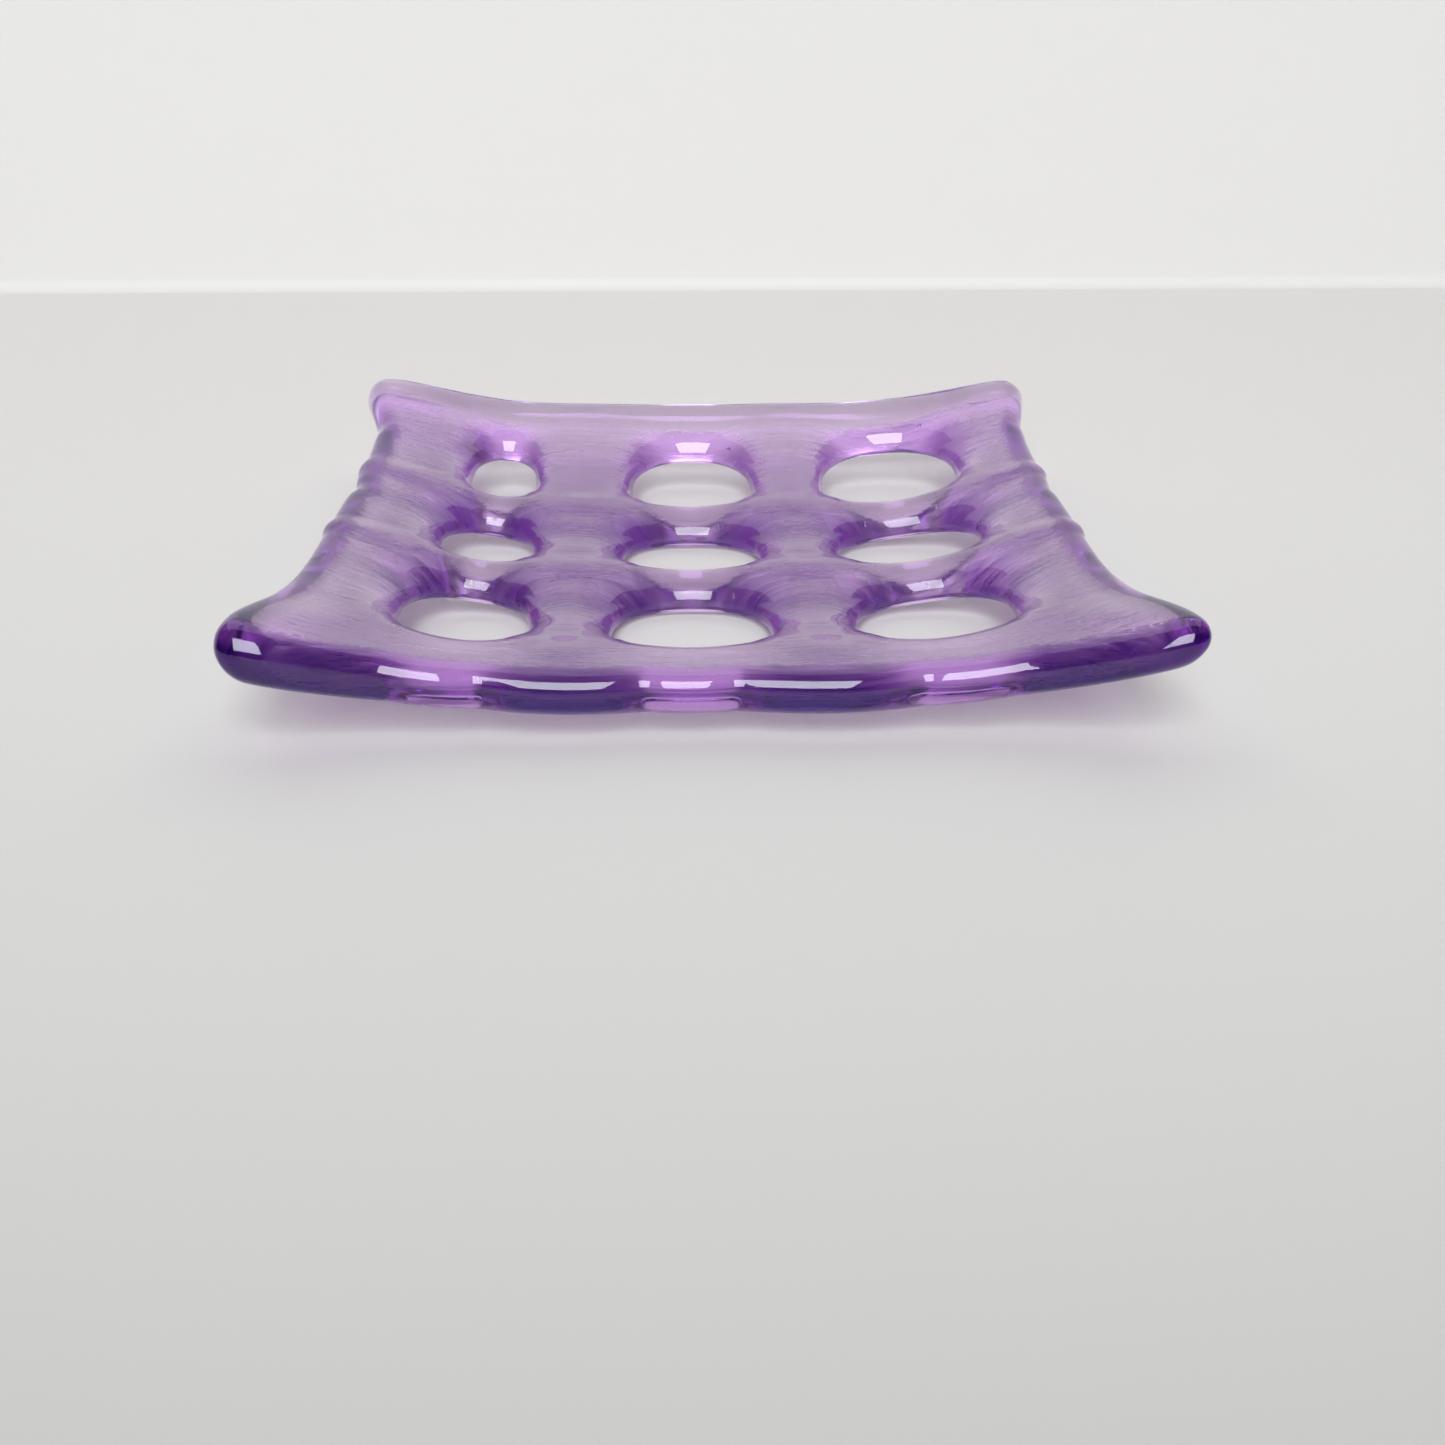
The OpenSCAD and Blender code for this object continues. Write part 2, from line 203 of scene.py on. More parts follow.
class FrogStudioSizes(PropertyGroup):
    """Floor, lights and camera"""

    floor_colour: colour("Floor", "Colour of the paper sweep", (0.73, 0.711, 0.684))
    floor_gap: length("Floor gap", "Space under the flat of the base", 0.03)
    floor_width: length("Floor width", "Width of the paper sweep", 3000)
    floor_front: length("Floor front", "How far the paper comes forward of the glass", 1200)
    wall_place: length("Wall place", "How far behind the glass the paper turns up", 203)
    wall_bend: length("Wall bend", "Radius of the bend where the paper turns up", 3)
    wall_height: length("Wall height", "How high the paper goes up", 150)

    room_colour: colour("Room light colour", "Colour of the light from all round", (1.0, 1.0, 1.0))
    room_light: number("Room light", "Strength of the light from all round", 0.04)

    window_distance: length("Window distance", "From the glass to the window", 1600)
    window_azimuth: angle("Window direction", "To the right of straight in front", -3)
    window_height_angle: angle("Window height", "Angle of the window above the floor", 37.5)
    window_w: length("Window width", "Width of the window", 760)
    window_h: length("Window height", "Height of the window", 1260)
    window_power: number("Window power", "Power of the window in watts", 31)
    window_colour: colour("Window colour", "Colour of the window's light", (0.93, 0.96, 1.0))

    back_place: lengths("Back light", "Place of the light behind", (0, 300, 520))
    back_w: length("Back light width", "Width of the light behind", 900)
    back_h: length("Back light height", "Height of the light behind", 600)
    back_power: number("Back light power", "Power of the light behind in watts", 1.8)

    shade_place: lengths("Shade place", "Lower middle of the dark card by the camera", (0, -260, 36))
    shade_w: length("Shade width", "Width of that card", 420)
    shade_h: length("Shade height", "Height of that card", 46)

    camera_place: lengths("Camera place", "Where the camera stands", (-1.9, -217.3, 79.9))
    camera_down: angle("Camera tilt", "How far the camera looks down", 24.9)
    camera_turn: angle("Camera turn", "How far the camera turns to the left", -1.15)
    lens: number("Lens", "Focal length in millimetres", 42.87)


# ------------------------------------------------------------------ shader expressions
class Shade:
    """A shader socket that can be used in Python expressions"""

    def __init__(self, tree, socket):
        self.tree = tree
        self.socket = socket

    def math(self, operation, *operands):
        node = self.tree.nodes.new("ShaderNodeMath")
        node.operation = operation
        for target, value in zip(node.inputs, operands):
            join(self.tree, target, value)
        return Shade(self.tree, node.outputs[0])

    def __add__(self, other):
        return self.math("ADD", self, other)

    __radd__ = __add__

    def __mul__(self, other):
        return self.math("MULTIPLY", self, other)

    __rmul__ = __mul__


def join(tree, target, value):
    """Links a socket to target, or writes a plain value into it"""
    if isinstance(value, Shade):
        tree.links.new(value.socket, target)
    else:
        target.default_value = value


class Shader:
    """Node tree of one material"""

    def __init__(self, name):
        self.material = bpy.data.materials.new(name)
        self.material.use_nodes = True
        self.tree = self.material.node_tree
        self.tree.nodes.clear()

    def node(self, kind, output=0, settings=None, inputs=(), **values):
        """Adds a node: its settings first, then its sockets in their order or by their names"""
        node = self.tree.nodes.new(kind)
        for name, setting in (settings or {}).items():
            setattr(node, name, setting)
        for target, value in zip(node.inputs, inputs):
            join(self.tree, target, value)
        for name, value in values.items():
            join(self.tree, node.inputs[name.replace("_", " ")], value)
        return Shade(self.tree, node.outputs[output])

    def finish(self, surface, volume=None):
        out = self.tree.nodes.new("ShaderNodeOutputMaterial")
        join(self.tree, out.inputs["Surface"], surface)
        if volume is not None:
            join(self.tree, out.inputs["Volume"], volume)
        return self.material


def glass_material(look):
    """Transparent purple glass. Its fused faces, where two strips meet, let everything through."""
    shader = Shader(GLASS_NAME)
    fused = shader.node("ShaderNodeAttribute", "Fac", {"attribute_name": "fused"})
    underside = shader.node("ShaderNodeAttribute", "Fac", {"attribute_name": "underside"})
    place = shader.node("ShaderNodeTexCoord", "Object")
    stretch = (look.streak_along, look.streak_across, look.streak_across)
    spread = shader.node(
        "ShaderNodeVectorMath", "Vector", {"operation": "MULTIPLY"}, inputs=(place, stretch)
    )
    streaks = shader.node("ShaderNodeTexNoise", "Fac", Vector=spread, Scale=1.0, Detail=3.0)
    grain = shader.node(
        "ShaderNodeBump", "Normal",
        Height=underside * streaks, Strength=1.0, Distance=look.streak_depth,
    )
    glass = shader.node(
        "ShaderNodeBsdfPrincipled",
        Base_Color=(*look.clear, 1),
        Roughness=look.polish + underside * (look.matt + look.streak * streaks),
        IOR=look.ior,
        Transmission_Weight=1.0,
        Normal=grain,
    )
    through = shader.node("ShaderNodeBsdfTransparent")
    skin = shader.node("ShaderNodeMixShader", "Shader", inputs=(fused, glass, through))
    tint = shader.node(
        "ShaderNodeVolumeAbsorption", Color=(*look.tint, 1), Density=look.tint_density
    )
    return shader.finish(skin, tint)


# ------------------------------------------------------------------ plan of the lattice
def blend(a, b, t):
    return a + (b - a) * t


def plan(x, y):
    """A point of the plan, or an array of them"""
    return np.stack(np.broadcast_arrays(x, y), axis=-1)


def round_off(s, t, squareness):
    """Pulls a point of the square with sides at -1 and 1 onto a rounded square"""
    return (np.abs(s) ** squareness + np.abs(t) ** squareness + TINY) ** (-1 / squareness)


class LatticePlan:
    """Where the strips' edges run, and the 7 by 7 cells between them"""

    def __init__(self, sizes):
        self.s = s = sizes
        self.half_w = s.lattice_w / 2
        self.half_l = s.lattice_l / 2
        even_x = (self.half_w - s.cut_w / 2) / 3
        even_y = (self.half_l - s.cut_w / 2) / 3
        self.x_edges = self.edges(
            self.half_w, s.lattice_l, even_x, s.left_w, s.right_w,
            (s.inner_left_drift, s.inner_left_w), (s.inner_right_drift, s.inner_right_w),
        )
        self.y_edges = self.edges(
            self.half_l, s.lattice_w, even_y, s.front_w, s.back_w,
            (s.inner_front_drift, s.inner_front_w), (s.inner_back_drift, s.inner_back_w),
        )
        self.openings = [[self.opening(i, j) for j in range(3)] for i in range(3)]

    @staticmethod
    def edges(half, reach, even, first_w, last_w, *inner):
        """Both edges of four strips, each as its place in the middle and its drift per metre"""
        def line(near, far):
            return (near + far) / 2, (far - near) / reach

        found = [(-half, 0.0), line(first_w[0] - half, first_w[1] - half)]
        for place, (drift, width) in zip((-even, even), inner):
            for side in (-1, 1):
                near, far = (place + drift[k] + side * width[k] / 2 for k in (0, 1))
                found.append(line(near, far))
        return [*found, line(half - last_w[0], half - last_w[1]), (half, 0.0)]

    @staticmethod
    def meet(x_edge, y_edge):
        x = (x_edge[0] + x_edge[1] * y_edge[0]) / (1 - x_edge[1] * y_edge[1])
        return np.array([x, y_edge[0] + y_edge[1] * x])

    def opening(self, i, j):
        """Middle of an opening, and half its width and half its length as vectors"""
        x, y = self.x_edges, self.y_edges
        a = self.meet(x[2 * i + 1], y[2 * j + 1])
        b = self.meet(x[2 * i + 2], y[2 * j + 1])
        c = self.meet(x[2 * i + 2], y[2 * j + 2])
        d = self.meet(x[2 * i + 1], y[2 * j + 2])
        return (a + b + c + d) / 4, (b + c - a - d) / 4, (c + d - a - b) / 4

    def opening_rim(self, i, j, s, t):
        middle, across, along = self.openings[i][j]
        k = round_off(s, t, self.s.opening_squareness)
        return middle + np.multiply.outer(s * k, across) + np.multiply.outer(t * k, along)

    @staticmethod
    def of_corner(values, x, y):
        """The value of the corner that x and y lie towards"""
        front_left, front_right, back_left, back_right = values
        front = np.where(np.less(x, 0), front_left, front_right)
        back = np.where(np.less(x, 0), back_left, back_right)
        return np.where(np.less(y, 0), front, back)

    def outline_rim(self, s, t):
        k = round_off(s, t, self.s.outline_squareness)
        near_corner = np.minimum(np.abs(s), np.abs(t)) ** self.s.flare_power
        drawn = self.of_corner(self.s.corner_flare, s, t) * np.sin(np.pi / 2 * near_corner) ** 2
        return plan(self.half_w * s * k + np.sign(s) * drawn, self.half_l * t * k + np.sign(t) * drawn)

    @staticmethod
    def station(edges, n, side, half, reach):
        """Where edge line number n leaves the side, from -1 to 1"""
        if n in (0, 7):
            return -1.0 if n == 0 else 1.0
        return (edges[n][0] + edges[n][1] * side * reach) / half

    def x_station(self, n, side):
        return self.station(self.x_edges, n, side, self.half_w, self.half_l)

    def y_station(self, n, side):
        return self.station(self.y_edges, n, side, self.half_l, self.half_w)

    def cell_corner(self, p, q):
        if p in (0, 7):
            side = -1.0 if p == 0 else 1.0
            return self.outline_rim(side, self.y_station(q, side))
        if q in (0, 7):
            side = -1.0 if q == 0 else 1.0
            return self.outline_rim(self.x_station(p, side), side)
        s, t = (-1.0 if n % 2 == 1 else 1.0 for n in (p, q))
        return self.opening_rim((p - 1) // 2, (q - 1) // 2, s, t)

    def end_out(self, side, stations):
        """How far the front or back edge bulges out between the seams beside the strips' ends"""
        seams = np.array([
            blend(self.x_station(n, side), self.x_station(n + 1, side), share)
            for n in (1, 3, 5) for share in END_SEAMS
        ])
        k = np.clip(np.searchsorted(seams, stations), 1, len(seams) - 1)
        gap = seams[k] - seams[k - 1]
        share = np.clip((stations - seams[k - 1]) / gap, 0, 1)
        return self.s.end_bulge[side > 0] * gap * self.half_w * np.sin(np.pi * share)

    def side_out(self, q, v, side, stations):
        """How far the left or right edge bulges out at a fused end, and dips in between ends"""
        s = self.s
        out = s.side_bulge * np.sin(np.pi * v) ** 2 if q % 2 == 0 else 0 * v
        for n in (3, 5):
            dip = blend(self.y_station(n, side), self.y_station(n + 1, side), SIDE_SEAM)
            reach = s.side_seam_reach / self.half_l
            out = out - s.side_seam_depth[side > 0] * np.exp(-(((stations - dip) / reach) ** 2))
        return out

    def edge_across(self, p, q, u):
        """Points of a cell's edge from its corner (p, q) to its corner (p + 1, q)"""
        if q in (0, 7):
            side = -1.0 if q == 0 else 1.0
            stations = blend(self.x_station(p, side), self.x_station(p + 1, side), u)
            out = side * self.end_out(side, stations)
            return self.outline_rim(stations, side) + plan(0 * u, out)
        if p % 2 == 1:
            side = -1.0 if q % 2 == 1 else 1.0
            return self.opening_rim((p - 1) // 2, (q - 1) // 2, np.tan((2 * u - 1) * np.pi / 4), side)
        return blend(self.cell_corner(p, q), self.cell_corner(p + 1, q), u[..., None])

    def edge_along(self, p, q, v):
        """Points of a cell's edge from its corner (p, q) to its corner (p, q + 1)"""
        if p in (0, 7):
            side = -1.0 if p == 0 else 1.0
            stations = blend(self.y_station(q, side), self.y_station(q + 1, side), v)
            out = side * self.side_out(q, v, side, stations)
            return self.outline_rim(side, stations) + plan(out, 0 * v)
        if q % 2 == 1:
            side = -1.0 if p % 2 == 1 else 1.0
            t = np.tan((2 * v - 1) * np.pi / 4)
            middle, across, along = self.openings[(p - 1) // 2][(q - 1) // 2]
            k = round_off(side, t, self.s.opening_squareness)
            return middle + np.multiply.outer(side * k, across) + np.multiply.outer(t * k, along)
        return blend(self.cell_corner(p, q), self.cell_corner(p, q + 1), v[..., None])

    def cell_points(self, p, q, u, v):
        """Points of cell (p, q) between its four edges"""
        uu, vv = u[..., None], v[..., None]
        corner = {
            (a, b): self.cell_corner(p + a, q + b) for a in (0, 1) for b in (0, 1)
        }
        return (
            blend(self.edge_across(p, q, u), self.edge_across(p, q + 1, u), vv)
            + blend(self.edge_along(p, q, v), self.edge_along(p + 1, q, v), uu)
            - blend(
                blend(corner[0, 0], corner[1, 0], uu), blend(corner[0, 1], corner[1, 1], uu), vv
            )
        )

    # -------------------------------------------------------------- heights
    def opening_share(self, points, reach):
        """Square of the share of the full height that the openings' rounding leaves"""
        total = np.ones(points.shape[:-1])
        for middle, across, along in (o for row in self.openings for o in row):
            area = across[0] * along[1] - across[1] * along[0]
            r = points - middle
            s = (r[..., 0] * along[1] - r[..., 1] * along[0]) / area
            t = (r[..., 1] * across[0] - r[..., 0] * across[1]) / area
            away = np.maximum(np.maximum(np.abs(s), np.abs(t)), 1)
            squareness = self.s.opening_squareness * away**self.s.squaring
            inset = np.linalg.norm(r, axis=-1) * (1 - round_off(s, t, squareness))
            total *= 1 - np.clip(1 - inset / reach, 0, 1) ** 2
        return total

    def slump(self, place, half):
        """Rise of the slumped underside, from 0 at the flat base to 1 at the straight edges"""
        base = self.s.base_half
        return (np.maximum(np.abs(place) - base, 0) / (half - base)) ** self.s.slump_power

    def underside(self, points):
        """Height of the underside, and how far into a corner the points lie"""
        s = self.s
        x, y = points[..., 0], points[..., 1]
        sx, sy = self.slump(x, self.half_w), self.slump(y, self.half_l)
        height = (
            np.where(x < 0, s.left_lift, s.right_lift) * sx
            + np.where(y < 0, s.front_lift, s.back_lift) * sy
            - self.of_corner(s.corner_relief, x, y) * sx * sy
        )
        return height, sx * sy

    def columns(self, p, q, u, v):
        """Upper, middle and lower points of the glass over the points of a cell"""
        s = self.s
        points = self.cell_points(p, q, u, v)
        far = s.lattice_w
        gaps = [np.full(u.shape, far)]
        if p == 0:
            gaps.append(np.linalg.norm(points - self.edge_along(0, q, v), axis=-1))
        if p == 6:
            gaps.append(np.linalg.norm(points - self.edge_along(7, q, v), axis=-1))
        if q == 0:
            gaps.append(np.linalg.norm(points - self.edge_across(p, 0, u), axis=-1))
        if q == 6:
            gaps.append(np.linalg.norm(points - self.edge_across(p, 7, u), axis=-1))
        to_outline = np.min(gaps, axis=0)
        outer = np.prod([1 - np.clip(1 - gap / s.edge_round, 0, 1) ** 2 for gap in gaps], axis=0)
        over = np.sqrt(outer * self.opening_share(points, s.opening_round))
        under = np.sqrt(outer * self.opening_share(points, s.underside_round))
        bed, cornering = self.underside(points)
        swell = self.of_corner(s.corner_swell, points[..., 0], points[..., 1])
        single = np.sin(np.pi * u) ** 2 * (p % 2) + np.sin(np.pi * v) ** 2 * (q % 2)
        inward = np.clip(to_outline / s.cut_w, 0, 1)
        thickness = s.strip_t + swell * np.minimum(cornering, 1) - s.stretch_dip * single * inward
        brim = thickness * blend(s.outline_brim, s.opening_brim, inward)
        fused = p % 2 == 0 and q % 2 == 0
        mound = s.crossing_rise * (np.sin(np.pi * u) * np.sin(np.pi * v)) ** 2 if fused else 0
        upper = bed + brim + (thickness - brim) * over + mound
        lower = bed + brim * (1 - under)
        return [
            np.concatenate([points, z[..., None]], axis=-1)
            for z in (upper, (upper + lower) / 2, lower)
        ]


# ------------------------------------------------------------------ glass of the lattice
UPPER, MIDDLE, LOWER = range(3)
CORNERS = ((0, 0), (1, 0), (1, 1), (0, 1))


class LatticeGlass:
    """Every point of the glass on one grid of columns, with the normals of its whole skin"""

    def __init__(self, sizes):
        self.n = n = sizes.facets
        self.last = 7 * n
        self.layout = layout = LatticePlan(sizes)
        even = (1 - np.cos(np.pi * np.arange(n + 1) / n)) / 2
        odd = np.arange(n + 1) / n
        points = np.zeros((3, self.last + 1, self.last + 1, 3))
        edge = np.zeros((self.last + 1, self.last + 1), bool)
        edge[[0, -1]] = edge[:, [0, -1]] = True
        for p in range(7):
            for q in range(7):
                block = (slice(p * n, p * n + n + 1), slice(q * n, q * n + n + 1))
                if p % 2 == 1 and q % 2 == 1:
                    edge[block][[0, -1]] = edge[block][:, [0, -1]] = True
                    continue
                u, v = np.meshgrid(odd if p % 2 else even, odd if q % 2 else even, indexing="ij")
                for layer, found in enumerate(layout.columns(p, q, u, v)):
                    points[layer][block] = found
        self.points = points.reshape(-1, 3)
        # The upper and lower skins share the points of a melted edge
        self.keys = np.arange(points.size // 3).reshape(points.shape[:3])
        for layer in (MIDDLE, LOWER):
            self.keys[layer][edge] = self.keys[UPPER][edge]
        self.edge = edge.ravel()
        self.normals = self.skin_normals()

    def facets(self, layer, columns, rows):
        """Facets of a layer over ranges of columns and rows, counter-clockwise from above"""
        ix, iy = np.meshgrid(columns, rows, indexing="ij")
        keys = self.keys[layer]
        found = np.stack([keys[ix + a, iy + b] for a, b in CORNERS], axis=-1)
        return found.reshape(-1, 4)

    def skin_normals(self):
        everywhere = np.arange(self.last)
        cells = everywhere // self.n % 2
        glass = ~np.logical_and.outer(cells == 1, cells == 1).ravel()
        normals = np.zeros_like(self.points)
        for layer, side in ((UPPER, 1), (LOWER, -1)):
            faces = self.facets(layer, everywhere, everywhere)[glass]
            a, b, c, d = (self.points[faces[:, k]] for k in range(4))
            way = side * np.cross(c - a, d - b)
            way /= np.maximum(np.linalg.norm(way, axis=1, keepdims=True), LEAST_AREA)
            for k in range(4):
                np.add.at(normals, faces[:, k], way)
        size = np.linalg.norm(normals, axis=1, keepdims=True)
        return normals / np.where(size > 0, size, 1)

    def split(self, face):
        """A facet, or its two halves where its diagonal would join two melted edges"""
        on_edge = [self.edge[k % self.edge.size] for k in face]
        if on_edge[0] and on_edge[1] and on_edge[3] and not on_edge[2]:
            start = 0
        elif on_edge[1] and on_edge[2] and on_edge[0] and not on_edge[3]:
            start = 1
        elif on_edge[2] and on_edge[3] and on_edge[1] and not on_edge[0]:
            start = 2
        elif on_edge[3] and on_edge[0] and on_edge[2] and not on_edge[1]:
            start = 3
        else:
            return [face]
        a, b, c, d = face[start:] + face[:start]
        return [[a, b, c], [a, c, d]]


class Strip:
    """Closed shape of one strip: its skin, and the fused facets that lie against other strips"""

    def __init__(self, glass, order, lengthwise):
        self.glass = glass
        self.order = order
        self.lengthwise = lengthwise
        self.start = 2 * order * glass.n
        self.skin, self.fused = [], []
        for cell in range(7):
            crossing = cell % 2 == 0
            self.add_sides(cell, UPPER, MIDDLE if crossing and not lengthwise else UPPER)
            self.add_sides(cell, LOWER, MIDDLE if crossing and lengthwise else LOWER)
        n, last, start = glass.n, glass.last, self.start
        own, other = ((UPPER, MIDDLE), (MIDDLE, LOWER))[:: 1 if lengthwise else -1]
        # Steps at both ends of each single stretch, against the strip that it meets
        for cell in range(1, 7):
            away = -1 if cell % 2 == 1 else 1
            for a in range(start, start + n):
                self.add_wall(other, (a, cell * n), (a + 1, cell * n), (0, away))
        # Sides of a crossing that lie against the other strip's single stretches
        for m in (m for m in range(last) if m // n % 2 == 0):
            if order > 0:
                self.add_wall(own, (start, m), (start, m + 1), (-1, 0))
            if order < 3:
                self.add_wall(own, (start + n, m), (start + n, m + 1), (1, 0))

    def turn(self, across, along):
        return (across, along) if self.lengthwise else (along, across)

    def add_sides(self, cell, side, layer):
        """Upper or lower facets of one cell of the strip"""
        n = self.glass.n
        own, along = np.arange(self.start, self.start + n), np.arange(cell * n, cell * n + n)
        faces = self.glass.facets(layer, *self.turn(own, along)).tolist()
        kept = self.fused if layer == MIDDLE else self.skin
        for face in faces:
            kept.extend(self.glass.split(face if side == UPPER else face[::-1]))

    def add_wall(self, layers, first, second, away):
        """An upright fused facet between two columns, which faces away from the glass"""
        keys = self.glass.keys
        first, second = self.turn(*first), self.turn(*second)
        corners = ((layers[0], first), (layers[0], second), (layers[1], second), (layers[1], first))
        face = list(dict.fromkeys(int(keys[layer][column]) for layer, column in corners))
        if len(face) < 3:
            return
        a, b, c = self.glass.points[face[:3]]
        way = np.cross(b - a, c - b)[:2]
        self.fused.append(face if np.dot(way, self.turn(*away)) > 0 else face[::-1])

    def pulled_back(self, gap):
        """The points, with those of the fused facets pulled back by half the gap"""
        points = self.glass.points
        pull = np.zeros_like(points)
        for face in self.fused:
            a, b, c = points[face[:3]]
            way = np.cross(b - a, c - b)
            pull[face] += way / max(np.linalg.norm(way), LEAST_AREA)
        size = np.linalg.norm(pull, axis=1, keepdims=True)
        return points - pull / np.where(size > 0, size, 1) * gap / 2

    def bubbles(self, radius):
        """Points, inward facets and normals of the air bubbles in the strip"""
        ball = bmesh.new()
        bmesh.ops.create_icosphere(ball, subdivisions=2, radius=1)
        shell = np.array([v.co for v in ball.verts])
        facets = [[v.index for v in reversed(face.verts)] for face in ball.faces]
        ball.free()
        points, faces, normals = [], [], []
        for order, gap, along, across, up in BUBBLES:
            if self.lengthwise or order != self.order:
                continue
            place = np.full((1, 1), along), np.full((1, 1), across)
            upper, _, lower = self.glass.layout.columns(2 * gap + 1, 2 * order, *place)
            faces.extend([k + len(points) for k in face] for face in facets)
            points.extend(blend(lower[0, 0], upper[0, 0], up) + radius * shell)
            normals.extend(-shell[k] for face in facets for k in face)
        return points, faces, normals

    def build(self, name, sizes, material):
        """The strip as an object that stands for the frame's node of that name"""
        used = sorted({k for face in self.skin + self.fused for k in face})
        place = {key: k for k, key in enumerate(used)}
        points, faces, normals = self.bubbles(sizes.bubble)
        first = len(used)
        faces = [[place[k] for k in face] for face in self.skin] + [
            [first + k for k in face] for face in faces
        ]
        skin_size = len(faces)
        faces += [[place[k] for k in face] for face in self.fused]
        mesh = bpy.data.meshes.new(name + "_glass")
        mesh.from_pydata([*self.pulled_back(sizes.joint_gap)[used], *points], [], faces)
        shelf = mesh.attributes.new("underside", "FLOAT", "POINT")
        downward = -self.glass.normals[used, 2]
        matt = np.clip((downward - MATT_FROM) / (1 - MATT_FROM), 0, 1)
        shelf.data.foreach_set("value", [*matt, *(0 for _ in points)])
        fused = mesh.attributes.new("fused", "FLOAT", "FACE")
        fused.data.foreach_set("value", [float(k >= skin_size) for k in range(len(faces))])
        mesh.shade_smooth()
        skin_normals = self.glass.normals[[k for face in self.skin for k in face]]
        flat = [tuple(p.normal) for p in mesh.polygons[skin_size:] for _ in p.vertices]
        mesh.normals_split_custom_set([*skin_normals, *normals, *flat])
        mesh.materials.append(material)
        piece = bpy.data.objects.new(name + "_glass", mesh)
        bpy.context.scene.collection.objects.link(piece)
        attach(piece, "root")
        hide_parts(name)
        return piece


def build_strips(context, names, lengthwise):
    """Builds four strips, and checks each against its node in the frame"""
    sizes = context.scene.frog_lattice
    glass = LatticeGlass(sizes)
    material = bpy.data.materials.get(GLASS_NAME) or glass_material(context.scene.frog_glass)
    for order, name in enumerate(names):
        piece = Strip(glass, order, lengthwise).build(name, sizes, material)
        low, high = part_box(name)
        corners = [Vector(corner) for corner in piece.bound_box]
        for k in range(3):
            least, most = min(c[k] for c in corners), max(c[k] for c in corners)
            if abs(least - low[k]) > STRAY or abs(most - high[k]) > STRAY:
                raise RuntimeError(f"{name} doesn't fill its place in the frame")


# ------------------------------------------------------------------ studio
BEND_STEPS = 24
MOST_BOUNCES = 40
# The camera's sensor, in millimetres, and the nearest that it sees
SENSOR_WIDTH = 36
NEAREST_SEEN = 10 * MM


def floor_material(studio):
    shader = Shader("paper_sweep")
    paper = shader.node(
        "ShaderNodeBsdfPrincipled", Base_Color=(*studio.floor_colour, 1), Roughness=0.6
    )
    return shader.finish(paper)


def build_sweep(studio):
    """Paper floor that curves up into a wall behind"""
    ground = -studio.floor_gap
    profile = [(-studio.floor_front, ground), (studio.wall_place - studio.wall_bend, ground)]
    for k in range(1, BEND_STEPS + 1):
        turn = math.pi / 2 * k / BEND_STEPS
        profile.append((
            studio.wall_place - studio.wall_bend * (1 - math.sin(turn)),
            ground + studio.wall_bend * (1 - math.cos(turn)),
        ))
    profile.append((studio.wall_place, studio.wall_height))
    half = studio.floor_width / 2
    verts = [(x, y, z) for y, z in profile for x in (-half, half)]
    faces = [(2 * k, 2 * k + 1, 2 * k + 3, 2 * k + 2) for k in range(len(profile) - 1)]
    mesh = bpy.data.meshes.new("paper_sweep")
    mesh.from_pydata(verts, [], faces)
    mesh.shade_smooth()
    mesh.materials.append(floor_material(studio))
    sweep = bpy.data.objects.new("paper_sweep", mesh)
    bpy.context.scene.collection.objects.link(sweep)


def build_shade(studio):
    """Dark card under the camera, which takes some of the window's light off the near floor"""
    x, y, z = studio.shade_place
    half, top = studio.shade_w / 2, z + studio.shade_h
    corners = [(x - half, y, z), (x + half, y, z), (x + half, y, top), (x - half, y, top)]
    mesh = bpy.data.meshes.new("camera_shade")
    mesh.from_pydata(corners, [], [(0, 1, 2, 3)])
    shader = Shader("dark_card")
    card = shader.node("ShaderNodeBsdfPrincipled", Base_Color=(0.02, 0.02, 0.02, 1), Roughness=0.8)
    mesh.materials.append(shader.finish(card))
    shade = bpy.data.objects.new("camera_shade", mesh)
    shade.visible_camera = False
    bpy.context.scene.collection.objects.link(shade)


def add_softbox(name, place, target, width, height, power, light_colour):
    lamp = bpy.data.lights.new(name, "AREA")
    lamp.shape = "RECTANGLE"
    lamp.size, lamp.size_y = width, height
    lamp.energy = power
    lamp.color = light_colour
    softbox = bpy.data.objects.new(name, lamp)
    softbox.location = place
    softbox.rotation_euler = (Vector(target) - Vector(place)).to_track_quat("-Z", "Y").to_euler()
    bpy.context.scene.collection.objects.link(softbox)


def build_world(studio):
    world = bpy.data.worlds.new("room_light")
    world.use_nodes = True
    background = world.node_tree.nodes["Background"]
    background.inputs["Color"].default_value = (*studio.room_colour, 1)
    background.inputs["Strength"].default_value = studio.room_light
    bpy.context.scene.world = world


def build_camera(studio):
    lens = bpy.data.cameras.new("camera")
    lens.sensor_width = SENSOR_WIDTH
    lens.lens = studio.lens
    lens.clip_start = NEAREST_SEEN
    camera = bpy.data.objects.new("camera", lens)
    camera.location = studio.camera_place
    camera.rotation_euler = (math.radians(90) - studio.camera_down, 0, studio.camera_turn)
    bpy.context.scene.collection.objects.link(camera)
    bpy.context.scene.camera = camera


# ------------------------------------------------------------------ operators and panel
class FROG_OT_lengthwise_strips(Operator):
    """Build the four lengthwise strips, which lie over the crosswise ones"""

    bl_idname = "frog.lengthwise_strips"
    bl_label = "Lengthwise Strips"

    def execute(self, context):
        build_strips(context, LENGTHWISE, lengthwise=True)
        return {"FINISHED"}


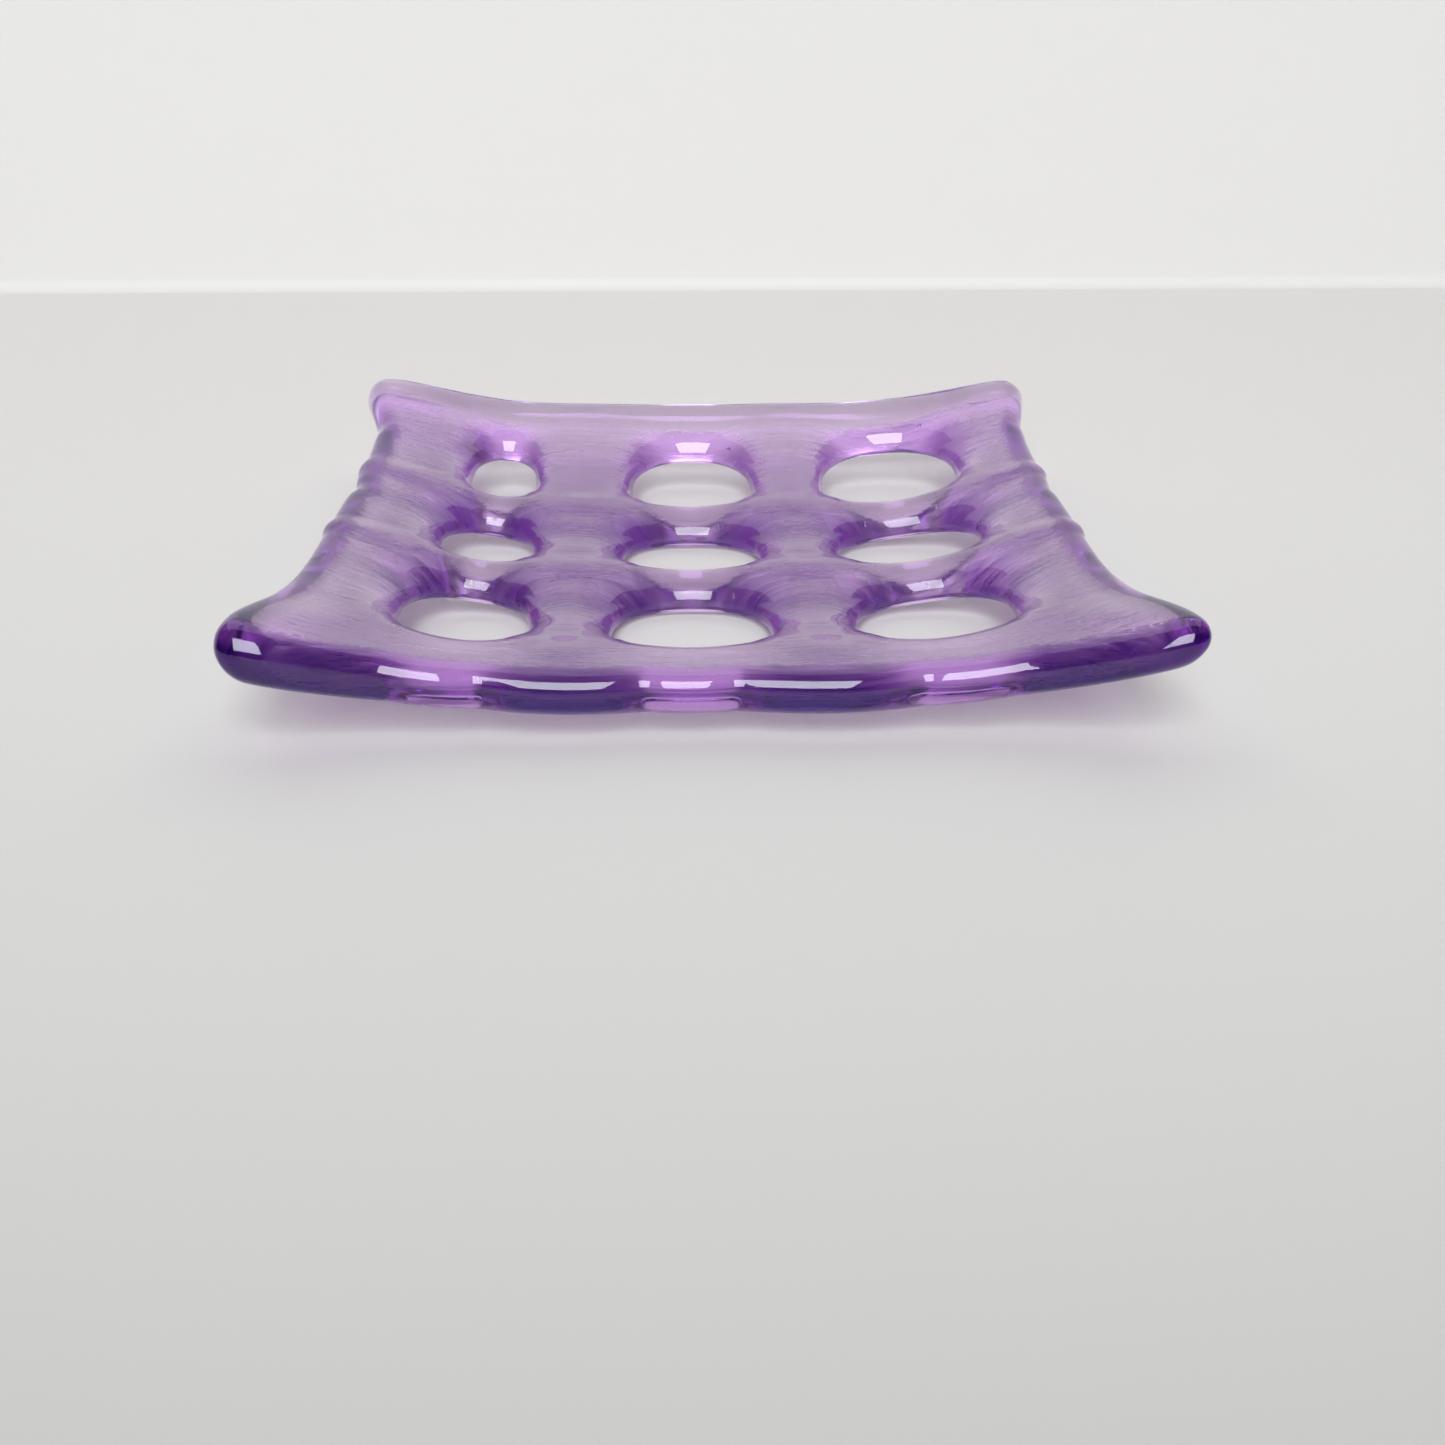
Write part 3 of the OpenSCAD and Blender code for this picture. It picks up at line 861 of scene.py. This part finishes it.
class FROG_OT_crosswise_strips(Operator):
    """Build the four crosswise strips"""

    bl_idname = "frog.crosswise_strips"
    bl_label = "Crosswise Strips"

    def execute(self, context):
        build_strips(context, CROSSWISE, lengthwise=False)
        return {"FINISHED"}


class FROG_OT_studio(Operator):
    """Build the paper sweep, the lights and the camera"""

    bl_idname = "frog.studio"
    bl_label = "Studio"

    def execute(self, context):
        studio = context.scene.frog_studio
        build_sweep(studio)
        build_world(studio)
        build_camera(studio)
        build_shade(studio)
        window = studio.window_distance * Vector((
            math.sin(studio.window_azimuth) * math.cos(studio.window_height_angle),
            -math.cos(studio.window_azimuth) * math.cos(studio.window_height_angle),
            math.sin(studio.window_height_angle),
        ))
        add_softbox(
            "window", window, (0, 0, 0), studio.window_w, studio.window_h,
            studio.window_power, studio.window_colour,
        )
        add_softbox(
            "back_light", studio.back_place, (0, 0, 0), studio.back_w, studio.back_h,
            studio.back_power, (1, 1, 1),
        )
        scene = context.scene
        scene.view_settings.view_transform = "Standard"
        scene.cycles.use_denoising = True
        scene.cycles.max_bounces = MOST_BOUNCES
        scene.cycles.transmission_bounces = MOST_BOUNCES
        scene.cycles.glossy_bounces = 12
        scene.cycles.diffuse_bounces = 4
        scene.cycles.transparent_max_bounces = 64
        scene.cycles.caustics_reflective = True
        scene.cycles.caustics_refractive = True
        return {"FINISHED"}


class FROG_PT_panel(Panel):
    """Sizes of the flower frog and the steps that build it"""

    bl_label = "Flower Frog"
    bl_idname = "FROG_PT_panel"
    bl_space_type = "VIEW_3D"
    bl_region_type = "UI"
    bl_category = "Flower Frog"

    def draw(self, context):
        layout = self.layout
        for name in ("frog_lattice", "frog_glass", "frog_studio"):
            group = getattr(context.scene, name)
            box = layout.box()
            for prop in group.bl_rna.properties:
                if prop.identifier not in ("rna_type", "name"):
                    box.prop(group, prop.identifier)
        for operator in OPERATORS:
            layout.operator(operator.bl_idname)


GROUPS = {
    "frog_lattice": FrogLatticeSizes,
    "frog_glass": FrogGlassLook,
    "frog_studio": FrogStudioSizes,
}
OPERATORS = (FROG_OT_lengthwise_strips, FROG_OT_crosswise_strips, FROG_OT_studio)
CLASSES = (*GROUPS.values(), *OPERATORS, FROG_PT_panel)


def register():
    for cls in CLASSES:
        bpy.utils.register_class(cls)
    for name, group in GROUPS.items():
        setattr(bpy.types.Scene, name, PointerProperty(type=group))


def unregister():
    for name in GROUPS:
        delattr(bpy.types.Scene, name)
    for cls in reversed(CLASSES):
        bpy.utils.unregister_class(cls)


def main():
    register()
    bpy.ops.frog.lengthwise_strips()
    bpy.ops.frog.crosswise_strips()
    bpy.ops.frog.studio()


if __name__ == "__main__":
    main()
